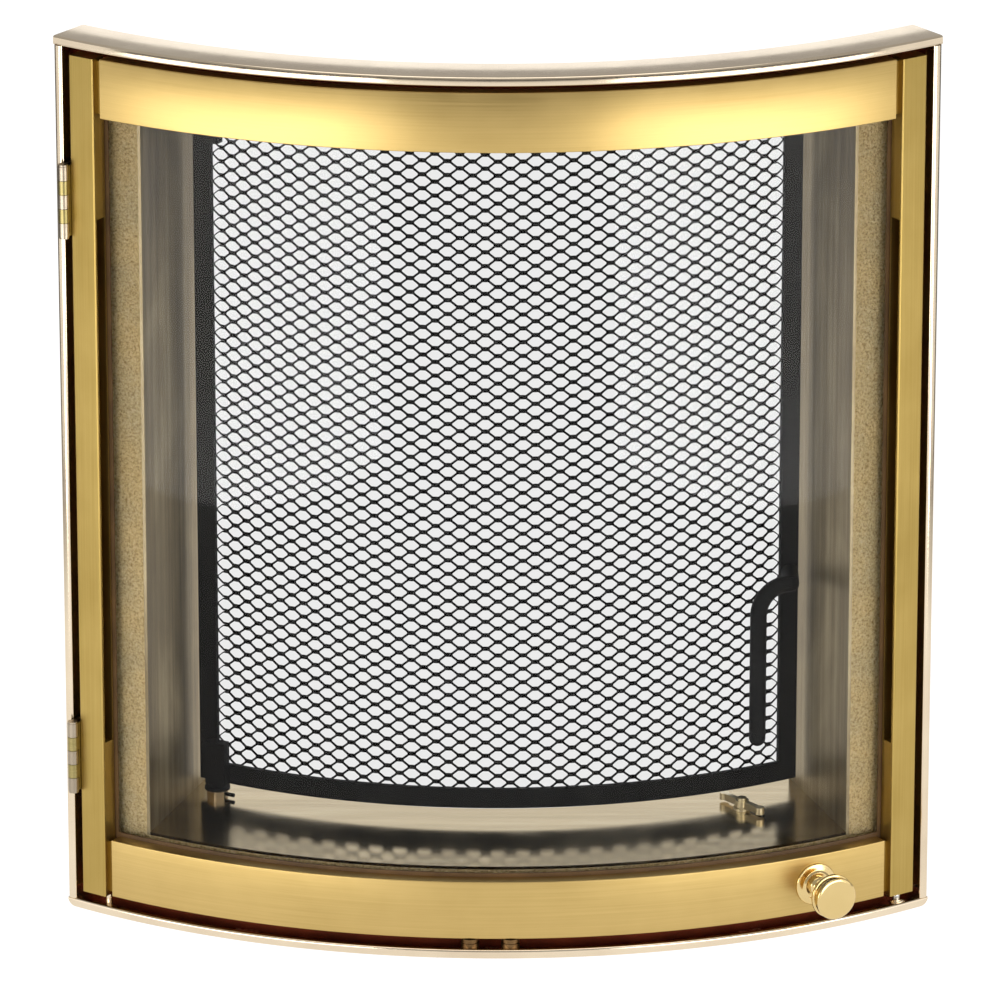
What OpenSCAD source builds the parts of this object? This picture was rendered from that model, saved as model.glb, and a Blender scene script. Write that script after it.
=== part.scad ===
// Bow-fronted glass door for a fireplace: a polished case with a sleeve that
// enters the fire opening, a curved glass door on two butt hinges, and an inner
// spark screen on its own pivots behind the glass.
//
// Frame: X to the right, -Y to the viewer, +Z up. The case stands on Z = 0 and
// the whole part is centred on X = 0 and Y = 0.
// The front is one arc. A depth is measured from it towards its centre, and a
// place along it is an angle from the middle of the front.

/* [Case] */
// Width over the two side bars at the front
case_w = 550; // [500:5:600]
// Height over the top and bottom bars
case_h = 580; // [520:5:640]
// How far the middle of the front stands forward of its ends
bow_depth = 90; // [80:1:100]
// Thickness of the case bars
bar_t = 6; // [5:0.5:8]
// Depth of the case bars from front to back
bar_d = 30; // [29:0.5:36]
// Rounding of the front edges of the case bars
edge_r = 1.5; // [0.5:0.25:2]

/* [Sleeve] */
// Depth of the sleeve's rear edge behind the front arc
sleeve_depth = 121; // [119:1:140]
// Turn of the sleeve's side walls from the line front to back
wall_splay = 19; // [17:0.5:24]
// Thickness of the sleeve sheet
sheet_t = 2; // [1.5:0.25:2.5]
// Width of the seal face seen beside the door's stile
reveal = 22.5; // [18:0.5:26]
// Height of the sleeve floor over the bottom rail
floor_rise = 4; // [3:0.5:8]
// Height of the sleeve ceiling over the lower edge of the top rail
ceiling_rise = 1.5; // [1:0.5:4]
// Depth of the flange's front face
flange_depth = 25; // [24:0.5:26]
// Thickness of the fibre seal on the flange
seal_t = 3.5; // [3:0.25:4]
// Width of the fibre seal
seal_w = 28; // [22:0.5:30]
// Radius of the fixing holes in the sleeve's ceiling
fixing_r = 2.75; // [2:0.25:3.5]
// Distance between the two fixing holes
fixing_spacing = 160; // [120:5:200]
// Distance of the fixing holes from the sleeve's rear edge
fixing_inset = 8; // [6:0.5:9]

/* [Door] */
// Gap between a side bar and the door
gap_side = 5; // [4.8:0.1:6]
// Gap between the top bar and the door
gap_top = 5; // [4:0.5:7]
// Gap between the bottom bar and the door
gap_bottom = 6; // [5:0.5:8]
// Width of a stile's face
stile_w = 18; // [16:0.5:22]
// Depth of a stile
stile_d = 12; // [11.5:0.25:13]
// Setback of the stile's face from the front arc
stile_setback = 1.5; // [1:0.25:2]
// Wall of the stile channel
stile_wall = 2; // [1.5:0.25:2.5]
// Rounding of a stile's outer edges
stile_edge_r = 0.8; // [0.3:0.1:1.2]
// Height of a rail
rail_h = 38.5; // [34:0.5:44]
// Thickness of a rail's front plate
rail_t = 3; // [2:0.25:3.5]
// Thickness of the two lips of a rail
rail_lip = 2; // [1.5:0.25:2.5]
// Setback of the rail's face from the front arc
rail_setback = 4; // [3.5:0.25:4.5]
// Open joint between a stile and the end of a rail
rail_joint = 3.5; // [2.5:0.25:5]
// Length of a corner bracket in the stile beyond the rail
bracket_reach = 66; // [50:1:90]
// Length of a corner bracket behind the rail
bracket_foot = 45; // [35:1:60]
// Thickness of the bracket's foot
bracket_t = 3; // [2:0.25:3.25]

/* [Glass] */
// Thickness of the glass
glass_t = 4; // [3:0.25:4.5]
// Thickness of the sealing tape in front of the glass
tape_t = 1; // [0.5:0.25:1.25]
// Width of tape that shows beside stiles and rails
tape_show = 2.5; // [1:0.5:4]
// Cover of the stile over the glass
glass_cover = 11; // [6:0.5:13]
// Thickness of a glass clip
clip_t = 1.2; // [0.8:0.1:1.4]
// Width of a glass clip
clip_w = 16; // [10:1:24]
// Height of a glass clip behind the glass
clip_h = 20; // [12:1:30]
// Half the distance between the outer clips
clip_spread = 170; // [120:5:200]

/* [Hinges] */
// Radius of the hinge barrel
barrel_r = 3.4; // [3:0.1:3.6]
// Radius of the hinge pin
hinge_pin_r = 1.5; // [1.2:0.1:1.7]
// Height of a hinge
hinge_h = 46; // [40:1:60]
// Distance from the case's top or bottom to the middle of a hinge
hinge_inset = 105; // [90:1:130]
// Thickness of a hinge leaf
leaf_t = 1.3; // [1:0.1:1.4]
// Distance of the hinge axis in front of the front arc
axis_proud = 2.9; // [2.5:0.1:3.5]
// Radius of a hinge screw's shank
hinge_screw_r = 1.3; // [1:0.1:1.6]
// Radius of a hinge screw's flat head
hinge_head_r = 2.4; // [2:0.1:2.6]

/* [Knob] */
// Distance of the knob's stud from the foot of the corner bracket
knob_gap = 6.7; // [6:0.1:30]
// Radius of the rosette
rosette_r = 13.75; // [12:0.25:15]
// Radius of the knob's head
knob_r = 14.25; // [12:0.25:16]
// Distance of the knob's front face from the rail
knob_reach = 30; // [26:0.5:36]
// Radius of the knob's neck
neck_r = 5; // [4:0.25:6]
// Radius of the threaded stud through the rail
stud_r = 2.5; // [2:0.25:3]

/* [Catch and rests] */
// Radius of the sprung plunger
plunger_r = 2.5; // [2:0.1:3]
// Radius of the catch's housing
housing_r = 4.5; // [4:0.1:5]
// Travel of the plunger
plunger_travel = 1.5; // [1:0.1:2]
// Gap between the plunger or a rest and the closed door
rest_gap = 0.4; // [0.3:0.05:0.6]
// Radius of a centre rest
rest_r = 5.75; // [4.5:0.25:6]
// Distance between the two centre rests
rest_spacing = 26; // [20:1:34]
// Distance of the middle of the pair to the left of the centre
rest_offset = 5; // [0:1:10]

/* [Screen] */
// Depth of the screen's front face
screen_depth = 100; // [98:0.5:104]
// Thickness of the screen's bars
screen_t = 3; // [2.5:0.25:4]
// Width of the screen's bars
screen_bar = 13; // [11:0.5:15]
// Gap between the screen and the side of the sleeve
screen_side_gap = 4.4; // [4:0.1:6]
// Gap between the sleeve floor and the screen
screen_lift = 8.5; // [8:0.5:12]
// Gap between the screen and the sleeve ceiling
screen_top_gap = 8; // [7:0.5:10]
// Distance of the pivot from the screen's outer edge
pivot_inset = 15; // [14:0.1:15.5]
// Radius of the pivot pins
pivot_r = 2.5; // [2:0.1:3]
// Height of a pivot lug
lug_h = 29; // [24:1:36]
// Width of a pivot lug
lug_w = 14; // [13:0.5:16]
// Thickness of a pivot lug
lug_t = 7; // [6.5:0.25:8]
// Thickness of the expanded mesh
mesh_t = 1.2; // [0.8:0.1:2]
// Width of a strand of the mesh
strand_w = 3; // [2:0.25:4]
// Number of half openings across the mesh
mesh_across = 16; // [12:2:18]
// Number of half openings up the mesh
mesh_up = 30; // [20:1:34]

/* [Screen handle] */
// Radius of the handle's round bar
handle_r = 5.3; // [4:0.1:6]
// Centre-line radius of the handle's bend
handle_bend = 18; // [14:0.5:24]
// Length of the straight arm from the foot to the bend
handle_arm = 5.5; // [4:0.5:12]
// Length of the straight grip below the bend
handle_grip = 83; // [60:1:84]
// Distance of the bar's centre line from the screen's face
handle_reach = 18; // [14:0.5:22]
// Height of the handle's upper arm over the screen's lower edge
handle_lift = 142; // [120:1:200]

/* [Wing screw] */
// Distance of the wing screw inwards from the screen's right edge
wing_inset = 35.4; // [28:0.2:60]
// Distance of the wing screw in front of the screen's face
wing_ahead = 13; // [11:0.5:24]
// Radius of its shank
shank_r = 3; // [2.5:0.25:4]
// Length over the two wings
wing_len = 40; // [30:1:44]
// Thickness of a wing
wing_t = 3.5; // [2.5:0.25:5]
// Turn of the wings from the front of the case
wing_turn = 50; // [20:5:70]

/* [Hidden] */
$fn = 96;
eps = 0.01;
run_gap = 0.05;                 // radial clearance of a pin that turns in its hole
play = 0.3;                     // clearance between faces that move past each other
clip_gap = 0.2;                 // clearance of a clip behind the glass

// Front arc
arc_r = (case_w * case_w / 4 + bow_depth * bow_depth) / (2 * bow_depth);
half_angle = asin(case_w / 2 / arc_r);
function deg_along(length, depth = 0) = length / (arc_r - depth) * 180 / PI;

// Door, outside in
stile_angle = half_angle - deg_along(bar_t + gap_side + stile_w / 2);
stile_inner_angle = half_angle - deg_along(bar_t + gap_side + stile_w);
rail_angle = stile_inner_angle - deg_along(rail_joint);
door_z0 = bar_t + gap_bottom;
door_z1 = case_h - bar_t - gap_top;
stile_back = stile_setback + stile_d;
rail_z_low = door_z0;
rail_z_high = door_z1 - rail_h;
tape_depth = stile_back;
glass_depth = tape_depth + tape_t;
glass_back = glass_depth + glass_t;
glass_angle = stile_inner_angle + deg_along(glass_cover);
glass_z0 = door_z0 + rail_lip + clip_t + play;
glass_z1 = door_z1 - rail_lip - clip_t - play;

// Sleeve
wall_angle = stile_inner_angle - deg_along(reveal);
floor_z = door_z0 + rail_h + floor_rise;
ceiling_z = rail_z_high + ceiling_rise;
seal_depth = flange_depth - seal_t;

// The side walls are straight: their angle at a depth, and the length to it
wall_turn = wall_angle - wall_splay;
wall_from_centre = (arc_r - seal_depth) * sin(wall_turn);
function wall_angle_at(depth) = wall_splay + asin(wall_from_centre / (arc_r - depth));
function wall_length_to(depth) =
    (arc_r - seal_depth) * cos(wall_turn) - (arc_r - depth) * cos(wall_angle_at(depth) - wall_splay);
rear_angle = wall_angle_at(sleeve_depth);

// The part is centred front to back on its own box
corner_y = sqrt(arc_r * arc_r - case_w * case_w / 4);
sleeve_rear_y = corner_y - (arc_r - sleeve_depth) * cos(rear_angle) + sheet_t * sin(wall_splay);
arc_y = corner_y + (bow_depth - sleeve_rear_y) / 2;

// Hinge axis, in the frame of the left corner: midway in the gap
axis_along = bar_t + gap_side / 2;
knuckles = 5;
knuckle_h = hinge_h / knuckles;
leaf_d = stile_setback + stile_d - 0.5;
hinge_middles = [hinge_inset, case_h - hinge_inset];
screw_count = 3;
head_depth = 0.7;
hinge_screw_len = 3.2;

// Screen
screen_mid = screen_depth + screen_t / 2;
screen_angle = wall_angle_at(screen_mid) - deg_along(screen_side_gap, screen_mid);
screen_inner_angle = screen_angle - deg_along(screen_bar, screen_mid);
screen_z0 = floor_z + screen_lift;
screen_z1 = ceiling_z - screen_top_gap;
pivot_depth = screen_depth - lug_t / 2;
pivot_angle = screen_angle - deg_along(pivot_inset, screen_mid);
lug_outer_angle = pivot_angle + deg_along(lug_w / 2, pivot_depth);
lug_inner_angle = pivot_angle - deg_along(lug_w / 2, pivot_depth);
collar_h = 3.2;
collar_wall = 5.7;
foot_wall = 4.3;
upper_bush_wall = 2.6;
collar_r = pivot_r + collar_wall;
collar_neck_r = pivot_r + 1.9;
foot_r = pivot_r + foot_wall;
foot_z = screen_z0 - collar_h - play;
upper_bush_r = pivot_r + upper_bush_wall;
bush_end = 1.5;                 // solid end of a blind pivot bush

brass = [0.85, 0.68, 0.30];
polished = [0.93, 0.80, 0.58];
fibre = [0.60, 0.51, 0.38];
steel = [0.33, 0.31, 0.28];
soot = [0.13, 0.13, 0.13];
clear = [0.80, 0.85, 0.85, 0.30];

// ---- placing and shared shapes ----

// Local frame on the front arc: X along it to the right, Y into the depth
module on_arc(angle) {
    translate([arc_r * sin(angle), arc_y - arc_r * cos(angle), 0])
        rotate([0, 0, angle])
            children();
}

module left_and_right() {
    children();
    mirror([1, 0, 0]) children();
}

// Turns a flat (radius, height) outline round the arc from angle a0 to a1
module sweep(a0, a1) {
    translate([0, arc_y, 0])
        rotate([0, 0, a0 - 90])
            rotate_extrude(angle = a1 - a0, $fn = 180)
                children();
}

// A plate that follows the arc between two depths, two heights and two angles
module arc_plate(depth0, depth1, z0, z1, a0, a1) {
    sweep(a0, a1)
        translate([arc_r - depth1, z0])
            square([depth1 - depth0, z1 - z0]);
}

// Flat bar outline, its two corners on the far side in X rounded
module edged_outline(length, thickness, r) {
    square([length - r, thickness]);
    translate([length - r - eps, r]) square([r + eps, thickness - 2 * r]);
    for (y = [r, thickness - r]) translate([length - r, y]) circle(r, $fn = 48);
}

// Rectangle with all four corners rounded
module rounded_outline(width, depth, r) {
    translate([r, 0]) square([width - 2 * r, depth]);
    translate([0, r]) square([width, depth - 2 * r]);
    for (x = [r, width - r], y = [r, depth - r]) translate([x, y]) circle(r, $fn = 48);
}

// ---- case ----

module case_arc_bar() {
    sweep(-half_angle, half_angle)
        translate([arc_r - bar_d, 0])
            edged_outline(bar_d, bar_t, edge_r);
}

module case_top_bar() {
    color(polished) translate([0, 0, case_h - bar_t]) case_arc_bar();
}

module case_bottom_bar() {
    color(polished) difference() {
        case_arc_bar();
        at_catch() translate([0, 0, -1]) cylinder(r = housing_r, h = bar_t + 2);
        at_centre_rests() translate([0, 0, bar_t - rest_stem_h]) cylinder(r = rest_stem_r, h = rest_stem_h + 1);
        at_corner_rest() translate([0, 0, bar_t - rest_stem_h])
            cylinder(r = corner_rest_stem_r, h = rest_stem_h + 1);
    }
}

module side_bar_blank() {
    on_arc(-half_angle)
        translate([0, bar_d, bar_t])
            rotate([0, 0, -90])
                linear_extrude(case_h - 2 * bar_t)
                    edged_outline(bar_d, bar_t, edge_r);
}

module case_left_bar() {
    color(polished) difference() {
        side_bar_blank();
        case_screw_places() cylinder(r = hinge_screw_r, h = hinge_screw_len + leaf_t);
    }
}

module case_right_bar() {
    color(polished) mirror([1, 0, 0]) side_bar_blank();
}

// Everything outside the inner face of the left side bar
module outside_left_bar() {
    on_arc(-half_angle)
        translate([bar_t - case_w / 4, -case_w / 4, -1])
            cube([case_w / 4, case_w / 2, case_h + 2]);
}

module left_flange_blank(depth0, depth1, z0, z1) {
    difference() {
        arc_plate(depth0, depth1, z0, z1, -half_angle, -wall_angle);
        outside_left_bar();
        left_wall_blank(over = seal_t);
    }
}

module flange_left() {
    color(steel) left_flange_blank(flange_depth, flange_depth + sheet_t, bar_t, case_h - bar_t);
}

module flange_right() {
    color(steel) mirror([1, 0, 0])
        left_flange_blank(flange_depth, flange_depth + sheet_t, bar_t, case_h - bar_t);
}

module flange_bottom() {
    color(steel) arc_plate(flange_depth, flange_depth + sheet_t, bar_t, floor_z - sheet_t, -wall_angle, wall_angle);
}

module flange_top() {
    color(steel)
        arc_plate(flange_depth, flange_depth + sheet_t, ceiling_z + sheet_t, case_h - bar_t, -wall_angle, wall_angle);
}

// ---- fibre seals the door closes against ----

seal_side_angle = wall_angle + deg_along(seal_w, flange_depth);
seal_z0 = floor_z - sheet_t - seal_w;
seal_z1 = ceiling_z + sheet_t + seal_w;

module left_seal() {
    color(fibre) difference() {
        arc_plate(seal_depth, flange_depth, seal_z0, seal_z1, -seal_side_angle, -wall_angle);
        left_wall_blank(over = seal_t);
    }
}

module seal_bottom() {
    color(fibre) arc_plate(seal_depth, flange_depth, seal_z0, floor_z - sheet_t, -wall_angle, wall_angle);
}

module seal_top() {
    color(fibre) arc_plate(seal_depth, flange_depth, ceiling_z + sheet_t, seal_z1, -wall_angle, wall_angle);
}

// ---- sleeve ----

// Frame of the left wall's inner face, its Y along the wall into the depth
module at_left_wall() {
    on_arc(-wall_angle)
        translate([0, seal_depth, 0])
            rotate([0, 0, wall_turn])
                children();
}

module left_wall_blank(over = 0) {
    at_left_wall()
        translate([-sheet_t, -over, floor_z - sheet_t])
            cube([sheet_t + over, wall_length_to(sleeve_depth) + over, ceiling_z - floor_z + 2 * sheet_t]);
}

// A sheet of the sleeve that runs from wall to wall
module wall_to_wall(z0) {
    difference() {
        arc_plate(seal_depth, sleeve_depth, z0, z0 + sheet_t, -half_angle, half_angle);
        left_and_right() at_left_wall()
            translate([-case_w / 4, -case_w / 4, -1])
                cube([case_w / 4, case_w, case_h + 2]);
    }
}

module sleeve_floor() {
    color(steel) wall_to_wall(floor_z - sheet_t);
}

module fixing_holes() {
    fixing_depth = sleeve_depth - fixing_inset;
    fixing_angle = asin(fixing_spacing / 2 / (arc_r - fixing_depth));
    left_and_right()
        on_arc(-fixing_angle)
            translate([0, fixing_depth, ceiling_z + sheet_t / 2])
                cylinder(r = fixing_r, h = 3 * sheet_t, center = true);
}

module sleeve_ceiling() {
    color(steel) difference() {
        wall_to_wall(ceiling_z);
        fixing_holes();
    }
}

module sleeve_left_wall() {
    color(steel) left_wall_blank();
}

module sleeve_right_wall() {
    color(steel) mirror([1, 0, 0]) left_wall_blank();
}

// ---- hinges ----

// Frame of the hinge axis, its Y into the depth of the left side bar
module at_axis() {
    on_arc(-half_angle) translate([axis_along, -axis_proud, 0]) children();
}

axis_x = -arc_r * sin(half_angle) + axis_along * cos(half_angle) - axis_proud * sin(half_angle);
axis_y = arc_y - arc_r * cos(half_angle) - axis_along * sin(half_angle) - axis_proud * cos(half_angle);

// Frame on the left stile's middle line
module at_left_stile() {
    on_arc(-stile_angle) children();
}

// The hinge axis seen from the left stile's frame
stile_origin_x = -arc_r * sin(stile_angle);
stile_origin_y = arc_y - arc_r * cos(stile_angle);
axis_in_stile_x = (axis_x - stile_origin_x) * cos(stile_angle) - (axis_y - stile_origin_y) * sin(stile_angle);
axis_in_stile_y = (axis_x - stile_origin_x) * sin(stile_angle) + (axis_y - stile_origin_y) * cos(stile_angle);

module knuckle(z0, bore_r) {
    translate([0, 0, z0 + play / 2]) difference() {
        cylinder(r = barrel_r, h = knuckle_h - play);
        translate([0, 0, -1]) cylinder(r = bore_r, h = knuckle_h + 2);
    }
}

// Screw places run up the leaf, their Z pointing into what the leaf lies on
module screw_row(z_middle) {
    for (i = [0 : screw_count - 1])
        translate([0, 0, z_middle + (i - (screw_count - 1) / 2) * hinge_h / screw_count])
            children();
}

module case_screw_places() {
    for (z = hinge_middles)
        on_arc(-half_angle)
            translate([bar_t + leaf_t, leaf_d * 0.62, 0])
                screw_row(z) rotate([0, -90, 0]) children();
}

module door_screw_places() {
    for (z = hinge_middles)
        at_left_stile()
            translate([-stile_w / 2 - leaf_t, leaf_d * 0.62, 0])
                screw_row(z) rotate([0, 90, 0]) children();
}

module screw_clearance() {
    translate([0, 0, -eps]) cylinder(r = hinge_screw_r, h = leaf_t + 1);
    translate([0, 0, -eps]) cylinder(r = hinge_head_r, h = head_depth + eps);
}

module flat_head_screw(length) {
    cylinder(r = hinge_head_r, h = head_depth);
    cylinder(r = hinge_screw_r, h = length);
}

module case_leaf(z_middle) {
    z0 = z_middle - hinge_h / 2;
    color(brass) difference() {
        union() {
            on_arc(-half_angle)
                translate([bar_t, -axis_proud, z0 + play / 2])
                    cube([leaf_t, leaf_d + axis_proud, hinge_h - play]);
            at_axis() for (i = [0, 2, 4]) knuckle(z0 + i * knuckle_h, hinge_pin_r);
        }
        at_axis() for (i = [1, 3])
            translate([0, 0, z0 + i * knuckle_h - play / 2]) cylinder(r = barrel_r + play, h = knuckle_h + play);
        at_axis() translate([0, 0, z0 - 1]) cylinder(r = hinge_pin_r, h = hinge_h + 2);
        case_screw_places() screw_clearance();
    }
}

module door_leaf(z_middle) {
    z0 = z_middle - hinge_h / 2;
    color(brass) difference() {
        union() {
            at_left_stile()
                translate([-stile_w / 2 - leaf_t, axis_in_stile_y, z0 + play / 2])
                    cube([leaf_t, leaf_d - axis_in_stile_y, hinge_h - play]);
            at_axis() for (i = [1, 3]) knuckle(z0 + i * knuckle_h, hinge_pin_r + run_gap);
        }
        at_axis() for (i = [0, 2, 4])
            translate([0, 0, z0 + i * knuckle_h - play / 2]) cylinder(r = barrel_r + play, h = knuckle_h + play);
        at_axis() translate([0, 0, z0 - 1]) cylinder(r = hinge_pin_r + run_gap, h = hinge_h + 2);
        door_screw_places() screw_clearance();
    }
}

module hinge_pins() {
    cap_h = 1.2;
    color(brass) at_axis() for (z = hinge_middles) {
        translate([0, 0, z - hinge_h / 2]) cylinder(r = hinge_pin_r, h = hinge_h);
        translate([0, 0, z + hinge_h / 2 - play / 2]) cylinder(r = barrel_r - 0.3, h = cap_h);
        translate([0, 0, z - hinge_h / 2 + play / 2 - cap_h]) cylinder(r = barrel_r - 0.3, h = cap_h);
    }
}

module hinge_case_screws() {
    color(brass) case_screw_places() flat_head_screw(hinge_screw_len + leaf_t);
}

module hinge_door_screws() {
    color(brass) door_screw_places() flat_head_screw(stile_wall + leaf_t);
}

// ---- rests and catch in the bottom bar ----

rest_depth = rail_setback + (stile_back - rail_setback) / 2;
rest_stem_r = 2;
rest_stem_h = 5;
corner_rest_r = 2.2;
corner_rest_stem_r = 1.2;
rest_h = gap_bottom - rest_gap;

module at_centre_rests() {
    for (side = [-1, 1])
        on_arc(deg_along(side * rest_spacing / 2 - rest_offset))
            translate([0, rest_depth, 0])
                children();
}

module at_corner_rest() {
    on_arc(-stile_inner_angle) translate([-corner_rest_r, rest_depth, 0]) children();
}

module centre_rests() {
    groove_h = 0.6;
    color(brass) at_centre_rests() {
        translate([0, 0, bar_t - rest_stem_h]) cylinder(r = rest_stem_r, h = rest_stem_h + eps);
        translate([0, 0, bar_t]) cylinder(r = rest_r, h = (rest_h - groove_h) / 2);
        translate([0, 0, bar_t]) cylinder(r = rest_r - 0.6, h = rest_h - eps);
        translate([0, 0, bar_t + (rest_h + groove_h) / 2]) cylinder(r = rest_r, h = (rest_h - groove_h) / 2);
    }
}

module corner_rest() {
    color(brass) at_corner_rest() {
        translate([0, 0, bar_t - rest_stem_h]) cylinder(r = corner_rest_stem_r, h = rest_stem_h + eps);
        translate([0, 0, bar_t]) cylinder(r = corner_rest_r, h = rest_h);
    }
}

housing_floor = 1;
housing_h = bar_t + gap_bottom - plunger_r - rest_gap - plunger_travel - play;
housing_lip_h = 1;
plunger_top = door_z0 - rest_gap;
plunger_stem_h = 2.5;           // straight part below its round top
plunger_z0 = plunger_top - plunger_r - plunger_stem_h;
spring_wire = 0.7;

module at_catch() {
    on_arc(stile_angle) translate([0, stile_setback + stile_d / 2, 0]) children();
}

module catch_housing() {
    color(brass) at_catch() difference() {
        union() {
            cylinder(r = housing_r, h = housing_h);
            translate([0, 0, bar_t]) cylinder(r = housing_r + 1.2, h = housing_lip_h);
        }
        translate([0, 0, housing_floor]) cylinder(r = plunger_r + run_gap, h = housing_h);
    }
}

module catch_spring() {
    color(steel) at_catch()
        translate([0, 0, housing_floor]) difference() {
            cylinder(r = plunger_r - 0.2, h = plunger_z0 - housing_floor);
            translate([0, 0, -1]) cylinder(r = plunger_r - 0.2 - spring_wire, h = plunger_z0 + 2);
        }
}

module catch_plunger() {
    color(steel) at_catch() {
        translate([0, 0, plunger_z0]) cylinder(r = plunger_r, h = plunger_top - plunger_r - plunger_z0);
        translate([0, 0, plunger_top - plunger_r]) sphere(plunger_r);
    }
}

// ---- door frame ----

cavity_x0 = -stile_w / 2 + stile_wall;
cavity_y0 = stile_setback + stile_wall;
cavity_y1 = stile_back - stile_wall;

module bracket_screw_places() {
    for (z = [door_z0 + rail_h + bracket_reach * 0.3, door_z0 + rail_h + bracket_reach * 0.75,
              door_z1 - rail_h - bracket_reach * 0.3, door_z1 - rail_h - bracket_reach * 0.75])
        left_and_right()
            at_left_stile()
                translate([0, stile_back, z])
                    rotate([90, 0, 0])
                        children();
}

module stile_blank() {
    at_left_stile()
        translate([0, 0, door_z0])
            linear_extrude(door_z1 - door_z0)
                difference() {
                    translate([-stile_w / 2, stile_setback]) rounded_outline(stile_w, stile_d, stile_edge_r);
                    translate([cavity_x0, cavity_y0]) square([stile_w, cavity_y1 - cavity_y0]);
                }
}

module door_left_stile() {
    color(brass) difference() {
        stile_blank();
        bracket_screw_places() screw_clearance();
        door_screw_places() cylinder(r = hinge_screw_r, h = leaf_t + stile_wall + 1);
    }
}

module door_right_stile() {
    color(brass) difference() {
        mirror([1, 0, 0]) stile_blank();
        bracket_screw_places() screw_clearance();
    }
}

// A rail is a C section: its front plate and a lip along each edge
module rail_blank() {
    lip_d = stile_back - rail_setback;
    sweep(-rail_angle, rail_angle) {
        translate([arc_r - rail_setback - rail_t, 0]) square([rail_t, rail_h]);
        for (z = [0, rail_h - rail_lip])
            translate([arc_r - stile_back, z]) square([lip_d, rail_lip]);
    }
}

module door_top_rail() {
    color(brass) translate([0, 0, rail_z_high]) rail_blank();
}

module door_bottom_rail() {
    color(brass) difference() {
        translate([0, 0, rail_z_low]) rail_blank();
        at_knob() translate([0, 0, -rail_t - 1]) cylinder(r = stud_r, h = rail_t + 2);
    }
}

// Corner bracket: a leg inside the stile channel and a curved foot behind the rail
module lower_left_bracket() {
    fit = 0.1;
    foot_depth = rail_setback + rail_t;
    foot_outer_angle = stile_angle;
    color(brass) difference() {
        union() {
            at_left_stile()
                translate([cavity_x0 + fit, cavity_y0 + fit, door_z0])
                    cube([stile_w - stile_wall - 2 * fit, cavity_y1 - cavity_y0 - 2 * fit, rail_h + bracket_reach]);
            arc_plate(foot_depth, foot_depth + bracket_t, rail_z_low + rail_lip + fit,
                rail_z_low + rail_h - rail_lip - fit, -foot_outer_angle, -rail_angle + deg_along(bracket_foot));
        }
        bracket_screw_places() cylinder(r = hinge_screw_r, h = bracket_screw_len);
        door_screw_places() cylinder(r = hinge_screw_r + 0.5, h = leaf_t + stile_wall + 1);
    }
}

bracket_screw_len = 7;

module flipped() {
    translate([0, 0, door_z0 + door_z1]) mirror([0, 0, 1]) children();
}

module bracket_screws() {
    color(brass) bracket_screw_places() flat_head_screw(bracket_screw_len);
}

// ---- glass ----

module glass_pane() {
    color(clear) arc_plate(glass_depth, glass_back, glass_z0, glass_z1, -glass_angle, glass_angle);
}

module glass_tape() {
    window_angle = stile_inner_angle - deg_along(tape_show, tape_depth);
    color(soot) difference() {
        arc_plate(tape_depth, glass_depth, glass_z0, glass_z1, -glass_angle, glass_angle);
        arc_plate(tape_depth - 1, glass_depth + 1, door_z0 + rail_h + tape_show, rail_z_high - tape_show,
            -window_angle, window_angle);
    }
}

// One clip on the bottom edge: a foot under the glass and a leaf behind it
module glass_clip(angle) {
    leaf_depth = glass_back + clip_gap;
    half = deg_along(clip_w / 2, glass_back);
    sweep(angle - half, angle + half) {
        translate([arc_r - leaf_depth - clip_t, door_z0 + rail_lip])
            square([leaf_depth + clip_t - stile_back, clip_t]);
        translate([arc_r - leaf_depth - clip_t, door_z0 + rail_lip])
            square([clip_t, clip_h]);
        translate([arc_r - stile_back, door_z0 + rail_lip])
            square([stile_back - rail_setback - rail_t, clip_t]);
    }
}

module glass_clips() {
    color(steel) for (along = [-clip_spread, 0, clip_spread]) {
        glass_clip(deg_along(along));
        flipped() glass_clip(deg_along(along));
    }
}

// ---- knob ----

rosette_t = 2.2;
boss_t = 1.6;
head_t = 9;

// Frame on the rail's face, its Z pointing straight out of the face
module at_knob() {
    on_arc(rail_angle - deg_along(bracket_foot + knob_gap))
        translate([0, rail_setback, door_z0 + rail_h / 2])
            rotate([90, 0, 0])
                children();
}

module knob_rosette() {
    color(brass) at_knob() difference() {
        union() {
            cylinder(r = rosette_r, h = rosette_t);
            cylinder(r = rosette_r * 0.66, h = rosette_t + boss_t);
        }
        translate([0, 0, -1]) cylinder(r = stud_r, h = rosette_t + boss_t + 2);
    }
}

head_front = 3;                 // solid metal in front of the stud

module knob_stem() {
    neck_z0 = rosette_t + boss_t;
    nut_side = rail_t + nut_t + 1;
    color(brass) at_knob() {
        translate([0, 0, -nut_side]) cylinder(r = stud_r, h = nut_side + knob_reach - head_front);
        translate([0, 0, neck_z0]) cylinder(r = neck_r, h = knob_reach - head_t - neck_z0);
    }
}

// Head: a rear flange, a groove and a flat front disc
module knob_head() {
    flange_t = 3;
    groove_t = 1.4;
    color(brass) at_knob() translate([0, 0, knob_reach - head_t]) difference() {
        union() {
            cylinder(r = knob_r, h = flange_t);
            cylinder(r = knob_r - 1.8, h = flange_t + groove_t + 1);
            translate([0, 0, flange_t + groove_t]) cylinder(r = knob_r - 0.6, h = head_t - flange_t - groove_t);
        }
        translate([0, 0, -1]) cylinder(r = stud_r, h = head_t - head_front + 1);
    }
}

nut_t = 4;

module knob_nut() {
    nut_r = 4.6;
    color(brass) at_knob() translate([0, 0, -rail_t - nut_t - 0.1]) difference() {
        cylinder(r = nut_r, h = nut_t, $fn = 6);
        translate([0, 0, -1]) cylinder(r = stud_r, h = nut_t + 2);
    }
}

// ---- spark screen ----

module screen_bar_plate(z0, z1, a0, a1) {
    color(soot) arc_plate(screen_depth, screen_depth + screen_t, z0, z1, a0, a1);
}

module screen_top_bar() {
    screen_bar_plate(screen_z1 - screen_bar, screen_z1, -screen_inner_angle, screen_inner_angle);
}

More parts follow.
